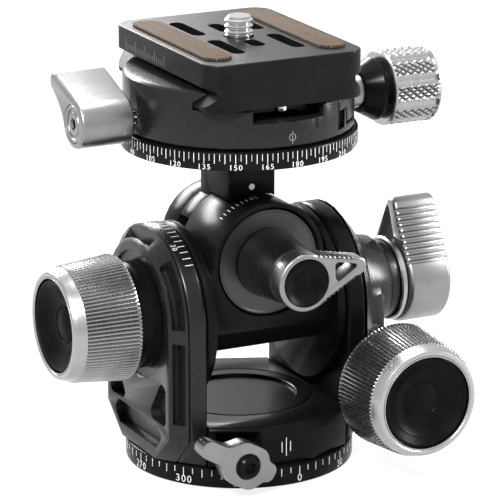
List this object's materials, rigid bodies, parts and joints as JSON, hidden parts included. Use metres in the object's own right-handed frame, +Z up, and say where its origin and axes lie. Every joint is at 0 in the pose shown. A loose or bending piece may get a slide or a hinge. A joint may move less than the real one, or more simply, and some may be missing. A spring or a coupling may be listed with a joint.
{
  "type": "geared tripod head",
  "caption": "Compact geared tripod head: pan base, two worm-driven tilts with fine adjusting knobs and locks, indexed top dial and a quick release clamp with its plate.",
  "frame": {"origin": "middle of the base's underside, on the pan axis", "axes": "+Z up along the pan axis, -Y the side with the index marks and the second tilt's lock, +X the side of the first tilt's thumb lever and of the clamp's knob; the first tilt turns about X and the second about Y"},
  "size_m": [0.0948, 0.0691, 0.1012],
  "materials": {
    "base_disc": "black anodised, satin",
    "pan_spindle": "bright turned",
    "thread_insert": "bright turned",
    "pan_housing": "black anodised, satin",
    "pan_cover": "black anodised, satin",
    "pan_brake": "plain bronze",
    "left_dial_plate": "black anodised, satin",
    "left_arm": "black anodised, satin",
    "left_collar": "black anodised, satin",
    "right_arm": "black anodised, satin",
    "right_dial_plate": "black anodised, satin",
    "right_collar": "black anodised, satin",
    "left_bushing": "plain bronze",
    "right_bushing": "plain bronze",
    "base_lock_lever": "satin silver anodised, machined",
    "base_lock_screw": "black anodised, satin",
    "thumb_collar": "satin silver anodised, machined",
    "thumb_lever": "satin silver anodised, machined",
    "thumb_stud": "bright turned",
    "right_knob": "satin silver anodised, machined",
    "right_knob_dish": "matte black",
    "right_worm_shaft": "bright turned",
    "cradle_body": "black anodised, satin",
    "front_cap": "dark grey anodised, turned",
    "tilt_wheel": "plain bronze",
    "left_knob": "satin silver anodised, machined",
    "left_knob_dish": "matte black",
    "left_worm_shaft": "bright turned",
    "tilt_shaft": "bright turned",
    "tilt_hub": "black anodised, satin",
    "tilt_segment": "plain bronze",
    "top_dial": "black anodised, satin",
    "top_spindle": "bright turned",
    "second_lock_boss": "black anodised, satin",
    "second_lock_lever": "satin silver anodised, machined",
    "second_lock_dish": "matte black",
    "clamp_base": "black anodised, satin",
    "clamp_lock_lever": "satin silver anodised, machined",
    "clamp_lock_stud": "bright turned",
    "movable_jaw": "black anodised, satin",
    "front_jaw_pin": "bright turned",
    "rear_jaw_pin": "bright turned",
    "clamp_knob_flange": "black anodised, satin",
    "clamp_knob": "satin silver anodised, machined",
    "clamp_knob_shaft": "satin silver anodised, machined",
    "quick_plate": "black anodised, satin",
    "left_pad": "brown, fine checked",
    "right_pad": "brown, fine checked",
    "front_stop_screw": "bright turned",
    "rear_stop_screw": "bright turned",
    "camera_screw": "bright turned"
  },
  "bodies": {
    "base": {"base_disc": "base_disc", "pan_spindle": "pan_spindle", "thread_insert": "thread_insert"},
    "yoke": {"pan_housing": "pan_housing", "pan_cover": "pan_cover", "pan_brake": "pan_brake", "left_dial_plate": "left_dial_plate", "left_arm": "left_arm", "left_collar": "left_collar", "right_arm": "right_arm", "right_dial_plate": "right_dial_plate", "right_collar": "right_collar", "left_bushing": "left_bushing", "right_bushing": "right_bushing"},
    "base_lock": {"base_lock_lever": "base_lock_lever", "base_lock_screw": "base_lock_screw"},
    "first_lock": {"thumb_collar": "thumb_collar", "thumb_lever": "thumb_lever", "thumb_stud": "thumb_stud"},
    "first_drive": {"right_knob": "right_knob", "right_knob_dish": "right_knob_dish", "right_worm_shaft": "right_worm_shaft"},
    "cradle": {"cradle_body": "cradle_body", "front_cap": "front_cap", "tilt_wheel": "tilt_wheel"},
    "second_drive": {"left_knob": "left_knob", "left_knob_dish": "left_knob_dish", "left_worm_shaft": "left_worm_shaft"},
    "head": {"tilt_shaft": "tilt_shaft", "tilt_hub": "tilt_hub", "tilt_segment": "tilt_segment", "top_dial": "top_dial", "top_spindle": "top_spindle"},
    "second_lock": {"second_lock_boss": "second_lock_boss", "second_lock_lever": "second_lock_lever", "second_lock_dish": "second_lock_dish"},
    "clamp": {"clamp_base": "clamp_base"},
    "pan_lock": {"clamp_lock_lever": "clamp_lock_lever", "clamp_lock_stud": "clamp_lock_stud"},
    "jaw": {"movable_jaw": "movable_jaw", "front_jaw_pin": "front_jaw_pin", "rear_jaw_pin": "rear_jaw_pin"},
    "clamp_screw": {"clamp_knob_flange": "clamp_knob_flange", "clamp_knob": "clamp_knob", "clamp_knob_shaft": "clamp_knob_shaft"},
    "plate": {"quick_plate": "quick_plate", "left_pad": "left_pad", "right_pad": "right_pad", "front_stop_screw": "front_stop_screw", "rear_stop_screw": "rear_stop_screw"},
    "screw": {"camera_screw": "camera_screw"}
  },
  "joints": [
    {"name": "pan", "type": "hinge", "parent": "base", "child": "yoke", "pos_m": [0, 0, 0.01], "axis": [0, 0, 1], "continuous": true},
    {"name": "base_lock_turn", "type": "hinge", "parent": "yoke", "child": "base_lock", "pos_m": [-0.0119, -0.028, 0.0072], "axis": [0, 1, 0], "range_deg": [-30, 10]},
    {"name": "first_lock_turn", "type": "hinge", "parent": "yoke", "child": "first_lock", "pos_m": [0.04, 0, 0.036], "axis": [1, 0, 0], "range_deg": [-20, 60]},
    {"name": "first_tilt", "type": "hinge", "parent": "yoke", "child": "cradle", "pos_m": [0, 0, 0.036], "axis": [1, 0, 0], "range_deg": [-30, 30]},
    {"name": "first_knob_turn", "type": "hinge", "parent": "yoke", "child": "first_drive", "pos_m": [0.025, -0.03, 0.0204], "axis": [0, 1, 0], "range_deg": [-800, 800]},
    {"name": "second_knob_turn", "type": "hinge", "parent": "cradle", "child": "second_drive", "pos_m": [-0.03, 0, 0.036], "axis": [1, 0, 0], "range_deg": [-620, 380]},
    {"name": "second_tilt", "type": "hinge", "parent": "cradle", "child": "head", "pos_m": [0, 0, 0.0486], "axis": [0, 1, 0], "range_deg": [-30, 18]},
    {"name": "second_lock_turn", "type": "hinge", "parent": "cradle", "child": "second_lock", "pos_m": [0, -0.02, 0.0486], "axis": [0, -1, 0], "range_deg": [-40, 50]},
    {"name": "top_pan", "type": "hinge", "parent": "head", "child": "clamp", "pos_m": [0, 0, 0.08], "axis": [0, 0, 1], "continuous": true},
    {"name": "top_lock_turn", "type": "hinge", "parent": "clamp", "child": "pan_lock", "pos_m": [-0.03, 0, 0.081], "axis": [1, 0, 0], "range_deg": [-35, 35]},
    {"name": "jaw_slide", "type": "slide", "parent": "clamp", "child": "jaw", "axis": [1, 0, 0], "range_m": [0, 0.0025]},
    {"name": "clamp_knob_turn", "type": "hinge", "parent": "jaw", "child": "clamp_screw", "pos_m": [0.03, 0, 0.081], "axis": [1, 0, 0], "range_deg": [0, 920]},
    {"name": "plate_slide", "type": "slide", "parent": "clamp", "child": "plate", "axis": [0, 1, 0], "range_m": [-0.003, 0.003]},
    {"name": "camera_screw_turn", "type": "hinge", "parent": "plate", "child": "screw", "pos_m": [0, 0, 0.09], "axis": [0, 0, 1], "continuous": true}
  ],
  "couplings": [
    {"joint": "first_knob_turn", "follows": "first_tilt", "ratio": -26},
    {"joint": "second_knob_turn", "follows": "second_tilt", "ratio": 20},
    {"joint": "clamp_knob_turn", "follows": "jaw_slide", "rad_per_m": 6283.2}
  ]
}
